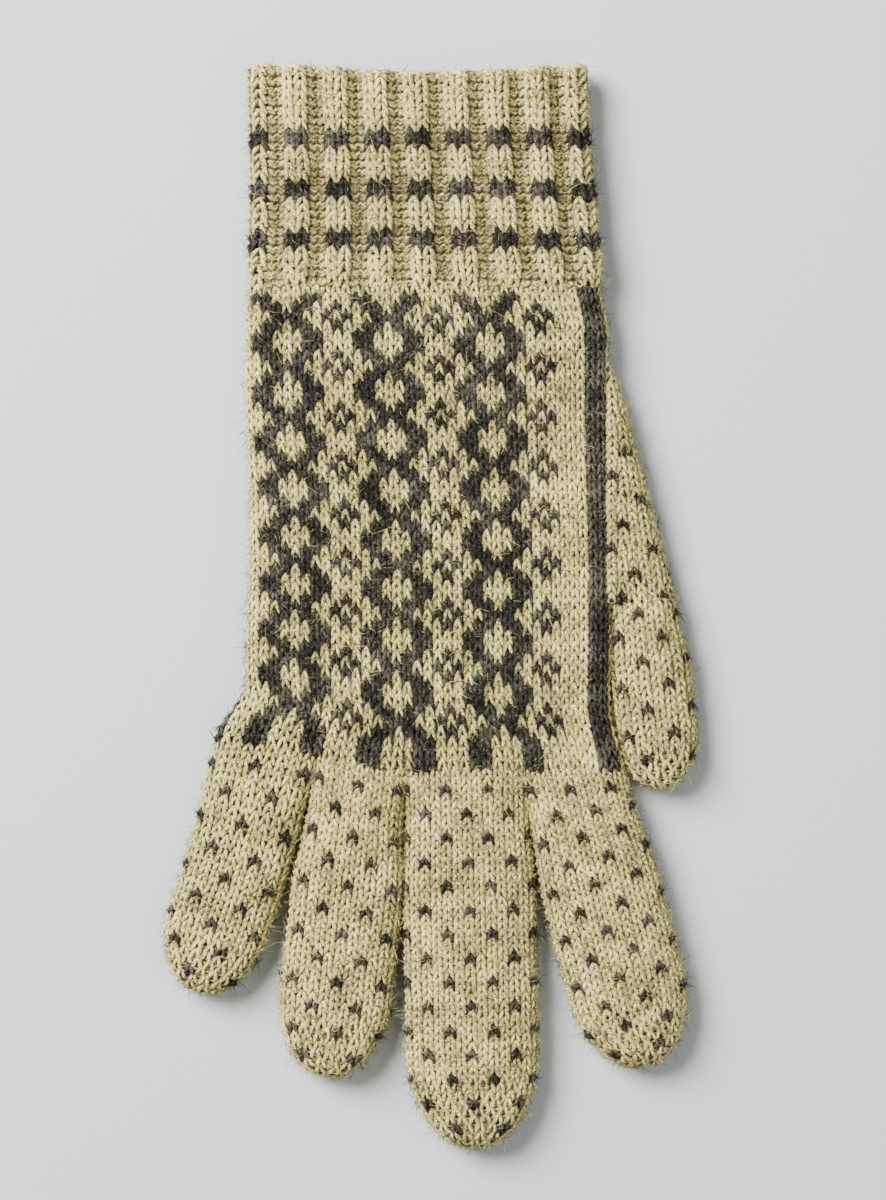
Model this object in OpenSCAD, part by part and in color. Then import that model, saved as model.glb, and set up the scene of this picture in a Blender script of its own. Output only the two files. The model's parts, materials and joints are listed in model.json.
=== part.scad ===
// Stranded knitted glove for the right hand, lying flat on its palm.
// +Y runs from the fingertips to the cuff, +Z is up, and the palm rests on z = 0.
// Each knitted section is a hollow shell. A fold is a gap across a tube, with a wedge
// above its axis, so that the outer section can fold up over the back of the hand.

/* [Fabric] */
// Thickness of the knitted fabric, floats included
wall = 2.2; // [1.6:0.1:2.6]
// Gap between two sections that fold against each other
fold_gap = 0.4; // [0.3:0.1:0.8]
// Height of the fold axes, as a part of the thickness of the tube
fold_height = 0.7; // [0.6:0.05:0.8]
// Extra opening of each fold wedge, in degrees a side
fold_spare = 2; // [1:0.5:4]

/* [Hand] */
// Width of the hand
hand_w = 87.8; // [74:0.2:106]
// Length of the hand, from the wrist to the row where the fingers start
hand_l = 116; // [96:1:140]
// Thickness of the hand as it lies
hand_t = 12.4; // [11.6:0.2:15]
// Height where the back meets the palm
seam_z = 6.6; // [6.3:0.1:7.5]
// Width of the dark stripe on the thumb side
thumb_stripe_w = 5.4; // [3:0.2:8]
// Width of the dark stripe on the little finger side
little_stripe_w = 4; // [3:0.2:8]
// Sideways place of the hand
hand_x = -0.9; // [-5:0.1:5]

/* [Cuff] */
// Length of the ribbed cuff without its edge
cuff_l = 50; // [40:1:65]
// Length of the cast-on edge
edge_l = 3; // [2:0.5:5]
// How much narrower the cuff is than the hand, at the wrist
wrist_ease = 4.4; // [1:0.2:8]
// How much narrower the cuff is at its mouth than at the wrist
mouth_draw = 3.4; // [0:0.2:8]
// Thickness of the cuff as it lies
cuff_t = 11.6; // [10.5:0.2:14]
// How far the cast-on edge stands out from the ribbing
edge_proud = 0.4; // [0.2:0.1:0.8]
// Sideways place of the cuff against the hand
cuff_shift = -1.8; // [-6:0.1:6]

/* [Fingers] */
// Thickness of the fingers as they lie
finger_t = 11.2; // [10.4:0.2:13]
// Length of the finger roots, from the first row to the fold
root_l = 9; // [7:0.5:12]
// How far each root runs back into the hand
root_back = 12; // [9:0.5:16]
// Least gap between neighbouring fingers
finger_gap = 0.6; // [0.4:0.1:3]
// Least gap between a finger that is folded up and its neighbour that lies flat
swing_gap = 0.3; // [0.2:0.1:2]
// Distance from the fold to where a finger has its full width
belly_s = 20; // [14:0.5:26]
// Sideways place of the row of fingers against the hand
row_shift = -2.4; // [-5:0.1:5]
// Largest fold at the wrist, in degrees
wrist_fold = 90; // [45:5:110]
// Largest fold at the row of finger roots, in degrees
root_fold = 80; // [40:5:90]
// Largest fold at the knuckles, in degrees
knuckle_fold = 70; // [40:5:90]
// Largest fold at the end joints, in degrees
end_fold = 42; // [20:1:60]

/* [Little finger] */
// Width at the root
little_root_w = 22.8; // [18:0.2:28]
// Full width
little_w = 24; // [20:0.2:29]
// Length from the fold to the tip
little_l = 47.2; // [40:0.2:57]
// Length of the section next to the hand
little_lower = 17; // [14:0.5:20]
// Length of the middle section
little_middle = 14; // [11:0.5:16]
// Lean away from the middle finger, in degrees
little_lean = 18.3; // [14:0.1:24]

/* [Ring finger] */
// Width at the root
ring_root_w = 21; // [17:0.2:26]
// Full width
ring_w = 26; // [21:0.2:32]
// Length from the fold to the tip
ring_l = 65.6; // [54:0.2:80]
// Length of the section next to the hand
ring_lower = 23; // [18:0.5:28]
// Length of the middle section
ring_middle = 20; // [16:0.5:24]
// Lean away from the middle finger, in degrees
ring_lean = 6.4; // [5:0.1:9]

/* [Middle finger] */
// Width at the root
middle_root_w = 28.2; // [23:0.2:34]
// Full width
middle_w = 31; // [25:0.2:38]
// Length from the fold to the tip
middle_l = 82.4; // [68:0.2:99]
// Length of the section next to the hand
middle_lower = 28; // [23:0.5:34]
// Length of the middle section
middle_middle = 26; // [21:0.5:31]
// Lean towards the index finger, in degrees
middle_lean = 1.3; // [0:0.1:3]

/* [Index finger] */
// Width at the root
index_root_w = 23.6; // [19:0.2:29]
// Full width
index_w = 27.6; // [23:0.2:33]
// Length from the fold to the tip
index_l = 64.8; // [54:0.2:78]
// Length of the section next to the hand
index_lower = 23; // [18:0.5:28]
// Length of the middle section
index_middle = 20; // [16:0.5:24]
// Lean away from the middle finger, in degrees
index_lean = 14.6; // [11:0.1:19]

/* [Thumb] */
// Thickness of the thumb and its gusset as they lie
thumb_t = 10.4; // [9.4:0.2:12]
// Width where the thumb leaves the gusset
thumb_root_w = 14.6; // [12:0.2:18]
// Full width
thumb_w = 19; // [16:0.2:23]
// Length from the gusset to the tip
thumb_l = 45.6; // [38:0.2:55]
// Length of the lower section
thumb_lower = 22; // [18:0.5:27]
// Lean away from the hand, in degrees
thumb_lean = 6.3; // [4:0.1:9]
// Distance from the row of fingers back to the root of the thumb
thumb_back = 40.3; // [34:0.1:48]
// Length of the gusset
gusset_l = 56; // [46:0.5:66]
// Gap between the thumb and the edge of the hand
thumb_gap = 0.5; // [0.4:0.1:3]

/* [Hidden] */

cream = [0.84, 0.79, 0.62];
dark = [0.38, 0.36, 0.35];
far = 400;            // longer than the glove, for cutting boxes
round_fn = 48;        // facets of a full circle
tip_step = 15;        // degrees between the points of a tip's outline
bridge_l = 4;         // length of the bridge between two fingers
tip_share = 0.62;     // length of a rounded tip against the finger's width
flank_share = 0.25;   // height where the straight flank of a root starts, against its thickness
way_share = 0.8;      // part of the gusset that is open to the hand
way_rise = 0.1;       // how far its sill stands above the inside of the palm
stripe_rise = 0.8;    // how far the little finger stripe starts above the inside of the palm
LITTLE = 0;
RING = 1;
MIDDLE = 2;
INDEX = 3;
THUMB = 4;

// One row a finger, in the order [root width, full width, length, lower section,
// middle section, lean, thickness]. Leans to -X are negative.
FINGERS = [
    [little_root_w, little_w, little_l, little_lower, little_middle, -little_lean, finger_t],
    [ring_root_w, ring_w, ring_l, ring_lower, ring_middle, -ring_lean, finger_t],
    [middle_root_w, middle_w, middle_l, middle_lower, middle_middle, middle_lean, finger_t],
    [index_root_w, index_w, index_l, index_lower, index_middle, index_lean, finger_t],
    [thumb_root_w, thumb_w, thumb_l, thumb_lower, thumb_l, thumb_lean, thumb_t]];
function root_of(i) = FINGERS[i][0];
function width_of(i) = FINGERS[i][1];
function length_of(i) = FINGERS[i][2];
function lower_of(i) = FINGERS[i][3];
function middle_of(i) = FINGERS[i][4];
function lean_of(i) = FINGERS[i][5];
function thick_of(i) = FINGERS[i][6];
function tip_of(i) = tip_share * width_of(i);

// Lengthways places, with the whole glove centred on y = 0
total_l = edge_l + cuff_l + hand_l + root_l + middle_l;
mouth_y = total_l / 2;
cuff_y = mouth_y - edge_l;
wrist_y = cuff_y - cuff_l;
row_y = wrist_y - hand_l;
fold_y = row_y - root_l;
thumb_y = row_y + thumb_back;

// Sideways places. Neighbouring fingers clear each other at their roots, at full width,
// and while one is folded up, when its flank swings forward by swing_s.
hand_left = hand_x - hand_w / 2;
hand_right = hand_x + hand_w / 2;
wrist_w = hand_w - wrist_ease;
mouth_w = wrist_w - mouth_draw;
swing_s = finger_t * (fold_height - flank_share);
function foot(w, i) = w / 2 / cos(lean_of(i));
function width_at(i, s) =
    root_of(i) + (width_of(i) - root_of(i)) * max(0, min(1, s / belly_s));
function pitch(i, j) = max(
    foot(root_of(i), i) + foot(root_of(j), j) + finger_gap,
    foot(width_of(i), i) + foot(width_of(j), j) + finger_gap
        - belly_s * (tan(lean_of(j)) - tan(lean_of(i))),
    foot(root_of(i), i) + foot(width_at(j, swing_s), j) - swing_s * tan(lean_of(j)) + swing_gap,
    foot(root_of(j), j) + foot(width_at(i, swing_s), i) + swing_s * tan(lean_of(i)) + swing_gap);
row_w = foot(root_of(LITTLE), LITTLE) + pitch(LITTLE, RING) + pitch(RING, MIDDLE)
    + pitch(MIDDLE, INDEX) + foot(root_of(INDEX), INDEX);
little_x = hand_x + row_shift - row_w / 2 + foot(root_of(LITTLE), LITTLE);
ring_x = little_x + pitch(LITTLE, RING);
middle_x = ring_x + pitch(RING, MIDDLE);
index_x = middle_x + pitch(MIDDLE, INDEX);

// The thumb clears the edge of the hand, and all round its tip it clears the index finger
function index_edge(y) =
    index_x + foot(width_at(INDEX, fold_y - y), INDEX) + (fold_y - y) * tan(index_lean);
function tip_clear(s, half) =
    index_edge(thumb_y - s * cos(thumb_lean) - half * sin(thumb_lean))
        + half * cos(thumb_lean) - s * sin(thumb_lean);
thumb_x = thumb_gap + max(
    hand_right + foot(thumb_root_w, THUMB),
    hand_right + foot(thumb_w, THUMB) - belly_s * tan(thumb_lean),
    max([for (a = [0 : tip_step : 90])
        tip_clear(thumb_l - tip_of(THUMB) * (1 - sin(a)), thumb_w / 2 * cos(a))]));
ROOT_X = [little_x, ring_x, middle_x, index_x, thumb_x];

// Flat tube section of width w and height h with round sides, standing on y = 0
module flat_tube(w, h) {
    translate([0, h / 2]) {
        square([w - h, h], center = true);
        for (side = [-1, 1])
            translate([side * (w - h) / 2, 0]) circle(d = h, $fn = round_fn);
    }
}

// Runs a section from y = 0 towards -Y over length l
module run_back(l) {
    rotate([90, 0, 0]) linear_extrude(l) children();
}

// Extrudes a side view across the whole width
module across() {
    translate([-far / 2, 0, 0]) rotate([90, 0, 90]) linear_extrude(far) children();
}

// Gap with a wedge above its axis, across a tube of thickness t that folds at y = 0
module fold_cut(t, fold) {
    reach = t * (1 - fold_height) + 1;
    spread = reach * tan(fold / 2 + fold_spare) + fold_gap / 2;
    across() {
        translate([-fold_gap / 2, -1]) square([fold_gap, t + 2]);
        polygon([[-fold_gap / 2, t * fold_height], [fold_gap / 2, t * fold_height],
                 [spread, t * fold_height + reach], [-spread, t * fold_height + reach]]);
    }
}

// Half-spaces: everything behind (+Y) or before (-Y) the line y
module behind(y) {
    translate([-far / 2, y, -1]) cube([far, far, far]);
}
module before(y) {
    translate([-far / 2, y - far, -1]) cube([far, far, far]);
}

// ---- fingers, each along -Y from its own fold ----

// Outline of finger i from above, drawn in by inset. It starts root_back + root_l behind
// the fold, widens to its full width, and ends in a half ellipse.
module finger_plan(i, inset) {
    start = root_back + root_l;
    half = width_of(i) / 2 - inset;
    root_half = root_of(i) / 2 - inset;
    cap_y = length_of(i) - tip_of(i);
    cap = [for (a = [0 : tip_step : 180])
        [half * cos(a), -cap_y - (tip_of(i) - inset) * sin(a)]];
    polygon(concat([[-root_half, 0], [-root_half, start], [root_half, start],
                    [root_half, 0], [half, -belly_s]],
                   cap, [[-half, -belly_s]]));
}

// The finger's form, drawn in by inset on every side
module finger_form(i, inset) {
    t = thick_of(i) - 2 * inset;
    l = length_of(i) - inset;
    start = root_back + root_l;
    translate([0, 0, inset]) intersection() {
        linear_extrude(t) finger_plan(i, inset);
        translate([0, start, 0]) run_back(start + l) flat_tube(width_of(i) - 2 * inset, t);
        across() {
            translate([-l + t / 2, 0]) square([l - t / 2 + start, t]);
            translate([-l + t / 2, t / 2]) circle(d = t, $fn = round_fn);
        }
    }
}

module at_finger(i) {
    y = i == THUMB ? thumb_y : fold_y;
    translate([ROOT_X[i], y, 0]) rotate([0, 0, lean_of(i)]) children();
}

// The knitted tube of finger i with its folds cut, in the glove's own frame
module finger_shell(i) {
    difference() {
        at_finger(i) difference() {
            finger_form(i, 0);
            finger_form(i, wall);
            translate([0, -lower_of(i), 0]) fold_cut(thick_of(i), knuckle_fold);
            if (i != THUMB)
                translate([0, -lower_of(i) - middle_of(i), 0]) fold_cut(thick_of(i), end_fold);
        }
        if (i != THUMB) translate([0, fold_y, 0]) fold_cut(thick_of(i), root_fold);
    }
}

module lower_section(i) {
    color(cream) intersection() {
        finger_shell(i);
        if (i == THUMB) before(thumb_y - fold_gap);
        if (i != THUMB) before(fold_y);
        at_finger(i) behind(-lower_of(i));
    }
}

module middle_section(i) {
    color(cream) intersection() {
        finger_shell(i);
        at_finger(i) before(-lower_of(i));
        at_finger(i) behind(-lower_of(i) - middle_of(i));
    }
}

module tip_section(i) {
    knuckles = i == THUMB ? lower_of(i) : lower_of(i) + middle_of(i);
    color(cream) intersection() {
        finger_shell(i);
        at_finger(i) before(-knuckles);
    }
}

// ---- hand ----

module hand_form(inset) {
    translate([hand_x, wrist_y + inset, inset])
        run_back(hand_l + 2 * inset) flat_tube(hand_w - 2 * inset, hand_t - 2 * inset);
}

// Finger roots, from inside the hand to the folds
module root_forms(inset) {
    intersection() {
        union() for (i = [LITTLE : INDEX]) at_finger(i) finger_form(i, inset);
        behind(fold_y - inset);
        before(row_y + root_back - 2 * inset);
    }
}

// Bridge of stitches cast on between finger i and its neighbour
module bridge_form(i) {
    lean_shift = root_l * tan(lean_of(i));
    next_shift = root_l * tan(lean_of(i + 1));
    left = ROOT_X[i] - lean_shift + foot(root_of(i), i) - wall;
    right = ROOT_X[i + 1] - next_shift - foot(root_of(i + 1), i + 1) + wall;
    translate([left, row_y - bridge_l, wall / 2])
        cube([right - left, bridge_l, finger_t - wall]);
}

// Way from the hand into the gusset, through the wall on the palm side
module gusset_way() {
    sill = wall + way_rise;
    translate([hand_right - hand_t / 2, thumb_y, sill])
        cube([hand_t, gusset_l * way_share, seam_z - sill]);
}

module hand_shell() {
    difference() {
        union() {
            hand_form(0);
            root_forms(0);
        }
        hand_form(wall);
        root_forms(wall);
        for (i = [LITTLE : MIDDLE]) bridge_form(i);
        translate([0, wrist_y, 0]) fold_cut(hand_t, wrist_fold);
        translate([0, fold_y, 0]) fold_cut(finger_t, root_fold);
        gusset_way();
    }
}

module thumb_stripe_zone() {
    translate([hand_right - thumb_stripe_w, row_y, seam_z]) cube([far, hand_l, far]);
}

module little_stripe_zone() {
    low = wall + stripe_rise;
    translate([hand_left + little_stripe_w - far, row_y, low])
        cube([far, hand_l, seam_z - low]);
}

module above_seam() {
    translate([-far / 2, -far / 2, seam_z]) cube([far, far, far]);
}

module hand_back() {
    color(cream) difference() {
        intersection() {
            hand_shell();
            above_seam();
        }
        thumb_stripe_zone();
    }
}

module hand_palm() {
    color(cream) difference() {
        hand_shell();
        above_seam();
        little_stripe_zone();
    }
}

module thumb_side_stripe() {
    color(dark) intersection() {
        hand_shell();
        thumb_stripe_zone();
    }
}

module little_side_stripe() {
    color(dark) intersection() {
        hand_shell();
        little_stripe_zone();
    }
}

module bridge(i) {
    color(cream) bridge_form(i);
}

// ---- thumb gusset ----

// Wedge that widens from the side of the hand to the root of the thumb
module gusset_plan(inset) {
    root_left = thumb_x - foot(thumb_root_w, THUMB);
    root_right = thumb_x + foot(thumb_root_w, THUMB);
    start = hand_right - hand_t / 2;
    polygon([[start, thumb_y + gusset_l - 3 * inset],
             [hand_right, thumb_y + gusset_l - 3 * inset],
             [root_right - inset, thumb_y],
             [root_left + inset, thumb_y],
             [start, thumb_y]]);
}

module thumb_gusset() {
    color(cream) difference() {
        linear_extrude(thumb_t) gusset_plan(0);
        translate([0, 0, wall]) linear_extrude(thumb_t - 2 * wall) gusset_plan(wall);
        hand_form(0);
    }
}

// ---- cuff ----

// Cuff outline from above, drawn in by inset and standing out by proud
module cuff_plan(inset, proud) {
    mouth = mouth_w / 2 - inset + proud;
    wrist = wrist_w / 2 - inset + proud;
    translate([hand_x + cuff_shift, 0])
        polygon([[-mouth, mouth_y + inset], [mouth, mouth_y + inset],
                 [wrist, wrist_y - inset], [-wrist, wrist_y - inset]]);
}

module cuff_form(inset, t, proud) {
    translate([0, 0, inset]) intersection() {
        linear_extrude(t - 2 * inset) cuff_plan(inset, proud);
        translate([hand_x + cuff_shift, mouth_y + inset, 0])
            run_back(edge_l + cuff_l + 2 * inset)
                flat_tube(wrist_w - 2 * inset + 2 * proud, t - 2 * inset);
    }
}

module cuff() {
    color(cream) difference() {
        cuff_form(0, cuff_t, 0);
        cuff_form(wall, cuff_t, 0);
        behind(cuff_y);
        translate([0, wrist_y, 0]) fold_cut(hand_t, wrist_fold);
    }
}

module cast_on_edge() {
    color(cream) difference() {
        cuff_form(0, cuff_t + edge_proud, edge_proud);
        cuff_form(wall, cuff_t, 0);
        before(cuff_y);
    }
}

cast_on_edge();
cuff();
hand_back();
hand_palm();
thumb_side_stripe();
little_side_stripe();
thumb_gusset();
lower_section(THUMB);  // thumb_lower_section
tip_section(THUMB);  // thumb_tip_section
bridge(LITTLE);  // bridge_little_ring
bridge(RING);  // bridge_ring_middle
bridge(MIDDLE);  // bridge_middle_index
lower_section(LITTLE);  // little_lower_section
middle_section(LITTLE);  // little_middle_section
tip_section(LITTLE);  // little_tip_section
lower_section(RING);  // ring_lower_section
middle_section(RING);  // ring_middle_section
tip_section(RING);  // ring_tip_section
lower_section(MIDDLE);  // middle_lower_section
middle_section(MIDDLE);  // middle_middle_section
tip_section(MIDDLE);  // middle_tip_section
lower_section(INDEX);  // index_lower_section
middle_section(INDEX);  // index_middle_section
tip_section(INDEX);  // index_tip_section
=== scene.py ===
# %% [markdown]
# # A stranded knitted glove
# The real glove is made of yarn and nothing else: one strand of cream wool and one of
# dark grey wool, pulled through themselves row after row from the cuff to the fingertips.
# It could be made as a smooth skin with the stitches only as colour and bump, but then its
# edges would be smooth and a fold would show no yarn. So a smooth middle surface gives each
# tube its shape, and every single stitch is laid on that surface as a piece of yarn.
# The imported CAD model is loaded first, because it says where the folds and edges are.

import json
import math

import bpy
import numpy as np
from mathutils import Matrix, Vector


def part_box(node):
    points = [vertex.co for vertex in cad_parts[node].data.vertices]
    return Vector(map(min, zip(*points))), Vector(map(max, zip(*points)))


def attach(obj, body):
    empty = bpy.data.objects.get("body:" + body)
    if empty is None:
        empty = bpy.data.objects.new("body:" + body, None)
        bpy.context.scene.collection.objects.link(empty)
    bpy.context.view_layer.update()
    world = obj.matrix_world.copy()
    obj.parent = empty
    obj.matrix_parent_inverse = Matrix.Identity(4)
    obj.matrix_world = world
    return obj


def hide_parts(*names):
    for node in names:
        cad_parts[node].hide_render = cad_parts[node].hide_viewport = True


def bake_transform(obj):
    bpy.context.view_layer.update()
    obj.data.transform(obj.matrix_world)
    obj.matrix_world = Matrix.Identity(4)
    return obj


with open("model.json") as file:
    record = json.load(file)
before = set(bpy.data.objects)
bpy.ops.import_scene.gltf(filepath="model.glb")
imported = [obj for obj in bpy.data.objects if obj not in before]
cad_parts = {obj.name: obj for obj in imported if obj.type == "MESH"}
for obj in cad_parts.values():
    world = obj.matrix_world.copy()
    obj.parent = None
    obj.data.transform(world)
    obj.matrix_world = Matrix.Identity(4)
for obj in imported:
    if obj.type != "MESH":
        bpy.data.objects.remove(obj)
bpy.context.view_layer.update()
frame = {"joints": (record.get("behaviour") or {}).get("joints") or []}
MM = 0.001
fold_at = {j["name"]: j["pos_m"] for j in frame["joints"]}

# %% [markdown]
# ## Where things are
# Lengthways places come from the frame: the mouth of the cuff, the wrist, the row where
# the fingers leave the hand, and the fold at the root of each finger. +Y runs to the cuff.
# All the knitting happens on a middle surface that lies one yarn thickness inside the
# outer face of the CAD solids, so that the finished stitches come out flush with them.

# %% Key places
skin = 1.1 * MM
mouth_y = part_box("cast_on_edge")[1].y
cuff_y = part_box("cast_on_edge")[0].y
wrist_y = fold_at["wrist_fold"][1]
row_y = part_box("bridge_ring_middle")[1].y
thumb_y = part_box("thumb_gusset")[0].y
gusset_top_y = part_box("thumb_gusset")[1].y
hand_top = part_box("hand_back")[1].z
cuff_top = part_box("cuff")[1].z
hand_width = 87.8 * MM
hand_mid_x = fold_at["wrist_fold"][0]
hand_left = hand_mid_x - hand_width / 2
hand_right = hand_mid_x + hand_width / 2
print("hand from y", round(wrist_y, 4), "to", round(row_y, 4))

# %% [markdown]
# ## The wool, its yarn and its gauge
# A stitch in the hand is about 2.4 mm wide and high. The fingers are worked a little
# wider and shorter. The yarn is as thick as half a stitch, because washing has fulled
# the wool until the loops close up against each other.
# A loop could be a curve drawn by hand and copied. It is one turn of a formula instead,
# which follows any surface: it runs sideways by one stitch, swings up and down through two
# rows, leans its two legs into a V, and dips behind at its foot and head.

# %% Gauge
segments = 8          # stretches of yarn in one stitch
sides = 6             # sides of the yarn
stations = 4          # rows of surface points in one knitted row
swing = 0.84          # how far a loop reaches from its row, in rows
leg_lean = 0.32       # how far a leg leans, in stitches
leg_swell = 0.16      # how much fuller the yarn is in a leg than at foot and head
depth = 0.55 * MM     # how far foot and head dip behind, and the legs stand in front
hand_yarn = 0.50 * MM
finger_yarn = 0.53 * MM
dark_swell = 0.10     # how much thicker the dark yarn is
dark_rise = 0.08 * MM
purl_shade = 0.09     # painted shade: how far the darkened flank turns up on a sunken purl stitch, in turns
dark_neighbour_shade = 0.045    # and on a cream stitch for each dark neighbour, as painted shade beside the dark yarn
# how unevenly it is knitted: sideways in stitches, along in rows, in height and in thickness
UNEVEN = {"column": 0.045, "row": 0.07, "lift": 0.06 * MM, "yarn": 0.10}
CREAM, DARK = 0, 1
print("segments in a stitch:", segments)


# %% [markdown]
# ## Middle surfaces
# A knitted tube that lies on a table is a flattened ring: a gently domed top, round edges
# and a flat belly. A cloth simulation would find that shape too, but not stitch by stitch
# in even rows. So each cross-section is a superellipse, sampled at even steps of its own
# length so that all stitches in a row come out equally wide.

# %% Cross-sections of a tube
def half_ring(power, flip, around, slimness):
    """Even steps along half a superellipse from -1 to +1 in x, as x and z factors."""
    angle = np.linspace(np.pi, 0.0, 181)
    cos, sin = np.cos(angle), np.sin(angle)
    x = np.sign(cos) * np.abs(cos) ** (2 / power)
    z = np.abs(sin) ** (2 / power)
    step = np.hypot(np.diff(x), np.diff(z) * slimness)
    length = np.concatenate([[0], np.cumsum(step)])
    even = np.linspace(0, length[-1], around + 1)
    x, z = np.interp(even, length, x), np.interp(even, length, z)
    return (-x, -z) if flip else (x, z)


def tube_grid(centre, across, half_width, low, high, mid, around, powers):
    """A grid of surface points: one closed ring for each station along the tube."""
    rings = []
    for i in range(len(centre)):
        wide = max(half_width[i], 1e-5)
        tx, tz = half_ring(powers[0], False, around, high[i] / wide)
        bx, bz = half_ring(powers[1], True, around, low[i] / wide)
        x = np.concatenate([tx[:-1], bx[:-1]]) * wide
        z = np.concatenate([tz[:-1] * high[i], bz[:-1] * low[i]]) + mid[i]
        rings.append(np.stack([centre[i][0] + x * across[i][0],
                               centre[i][1] + x * across[i][1], z], -1))
    return np.array(rings)


def unit(vectors):
    """The same directions, one long."""
    size = np.linalg.norm(vectors, axis=-1, keepdims=True)
    return vectors / np.maximum(size, 1e-12)


def surface(grid, closed=True):
    """The grid with its outward normals."""
    along = np.gradient(grid, axis=0)
    if closed:
        wrap = np.concatenate([grid[:, -1:], grid, grid[:, :1]], axis=1)
        around = (wrap[:, 2:] - wrap[:, :-2]) / 2
    else:
        around = np.gradient(grid, axis=1)
    return {"grid": grid, "normal": unit(np.cross(along, around)), "closed": closed}


def on_surface(shell, row, turn):
    """Point and normal at a row (in rows) and a turn (0 to 1 round the tube).

    Past its two ends the surface runs straight on, for the loops that reach out of it.
    """
    rows, count = shell["grid"].shape[:2]
    v = np.clip(row * stations, -2.5, rows + 1.5)
    u = (turn % 1.0) * count if shell["closed"] else np.clip(turn, 0, 1) * (count - 1.001)
    v0, u0 = np.clip(v, 0, rows - 2).astype(int), u.astype(int)
    fv, fu = (v - v0)[..., None], (u - u0)[..., None]
    u0 = u0 % count
    u1 = (u0 + 1) % count
    mixed = []
    for field in (shell["grid"], shell["normal"]):
        first = field[v0, u0] * (1 - fu) + field[v0, u1] * fu
        second = field[v0 + 1, u0] * (1 - fu) + field[v0 + 1, u1] * fu
        mixed.append(first * (1 - fv) + second * fv)
    return mixed[0], unit(mixed[1])


def smooth(t):
    """Smooth step from 0 to 1."""
    t = np.clip(t, 0, 1)
    return t * t * (3 - 2 * t)


print("surface helpers ready")


# %% [markdown]
# ## One course of stitches
# A course is the yarn of one row. It is made here as a list of centre points, with the
# surface normal at each point, a radius, and the colour of each stretch. Small seeded
# differences in size, height and place keep hand knitting from looking machine made.

# %% Yarn of one course
def lay(shell, fabric, row, column, stitches):
    """Point, normal and rise of places in the knitting, after its drift and relief."""
    rise = np.zeros(np.shape(column))
    if "drift" in fabric:
        column = column + fabric["drift"](row, column)
    if "relief" in fabric:
        column, rise = fabric["relief"](column, row)
    return (*on_surface(shell, row, column / stitches), rise)


def course(shell, fabric, row, first, last, rng):
    """Yarn of stitches first to last (not included) of one row, as points on the surface."""
    stitches = fabric["stitches"](row)
    count = last - first
    whole = count == stitches and shell["closed"]
    i = np.arange(count * segments + (0 if whole else 1))
    turn = 2 * np.pi * i / segments
    knots = np.linspace(0, count * segments, 2 * count + 1)

    def wobble(kind):
        values = rng.normal(0, UNEVEN[kind], len(knots))
        values[-1] = values[0] if whole else values[-1]
        return np.interp(i, knots, values)

    def colours(of_row):
        return np.array([fabric["colour"](of_row, k) for k in range(first, last)])

    column = first + i / segments + leg_lean * np.sin(2 * turn) + wobble("column")
    here = row + 0.5 - swing * np.cos(turn) + wobble("row")
    point, normal, rise = lay(shell, fabric, here, column, stitches)
    before = np.floor((i - 0.5) / segments).astype(int) + first
    after = np.floor((i + 0.5) / segments).astype(int) + first
    face = (fabric["face"](before) + fabric["face"](after)) / 2
    lift = -depth * np.cos(2 * turn) * face + wobble("lift") + rise
    own = colours(row)
    colour = np.repeat(own, segments)
    dark = colour if whole else np.append(colour, colour[-1])
    radius = fabric["yarn"] * (1 + wobble("yarn") - leg_swell * np.cos(2 * turn))
    lift = lift + dark_rise * dark
    # painted shade: a cream stitch beside dark ones turns more of its darkened flank up
    beside = np.pad(own[1:], (0, 1)) + np.pad(own[:-1], (1, 0))
    beside = beside + colours(row - 1) + colours(row + 1)
    shaded_beside_dark = np.repeat(np.minimum(beside, 2) * (1 - own), segments)
    return {
        "point": point + normal * lift[:, None],
        "normal": normal,
        "radius": radius * (1 + dark_swell * dark),
        "colour": colour,
        "whole": whole,
        # painted shade: sunken purl stitches and cream stitches beside dark ones show more of the
        # darkened flank
        "shade": purl_shade * (1 - face[:len(colour)]) + dark_neighbour_shade * shaded_beside_dark,
    }


def knit_face(column):
    """Every stitch shows its smooth knit face."""
    return np.ones(np.shape(column))


print("course ready")

# %% [markdown]
# ## From yarn to mesh
# Each course becomes a closed tube with six sides. A bevelled curve would do for a few
# strands, but thousands of stitches are built much faster as arrays, and each face can be
# given its wool. Two UV maps go with it. `Yarn` measures millimetres along the strand and
# turns around it, which is what twist and fibres follow. `OFBake` gives every course its
# own strip, so that each face has a place of its own in a texture.

# %% Mesh builder
floor_z = 0.02 * MM


def circle(first, second, corners):
    """Directions all round a strand, from two that stand square to it."""
    angle = 2 * np.pi * np.arange(corners) / corners
    return first[:, None] * np.cos(angle)[:, None] + second[:, None] * np.sin(angle)[:, None]


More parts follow.
